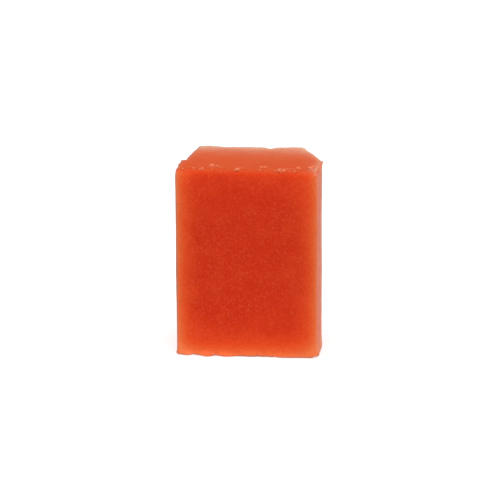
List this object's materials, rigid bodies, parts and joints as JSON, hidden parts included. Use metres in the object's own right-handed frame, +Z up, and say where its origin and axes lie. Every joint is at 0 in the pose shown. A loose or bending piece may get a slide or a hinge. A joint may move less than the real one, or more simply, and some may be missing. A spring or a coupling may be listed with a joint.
{
  "type": "clay bar",
  "caption": "Block of car-detailing clay with wire-cut ends, shoulders that lean in to a narrower back, and torn crumbs along its upper cut edge.",
  "frame": {"origin": "middle of the lower cut end, on the surface that the bar stands on", "axes": "+Z up along the extruded length, -Y out of the broad working face, +X to the right as that face is looked at"},
  "size_m": [0.056, 0.036, 0.077],
  "materials": {
    "clay": "satin",
    "clay_crumb": "matte"
  },
  "bodies": {
    "root": {"clay_block": "clay", "cut_crumbs": "clay_crumb"}
  },
  "joints": []
}
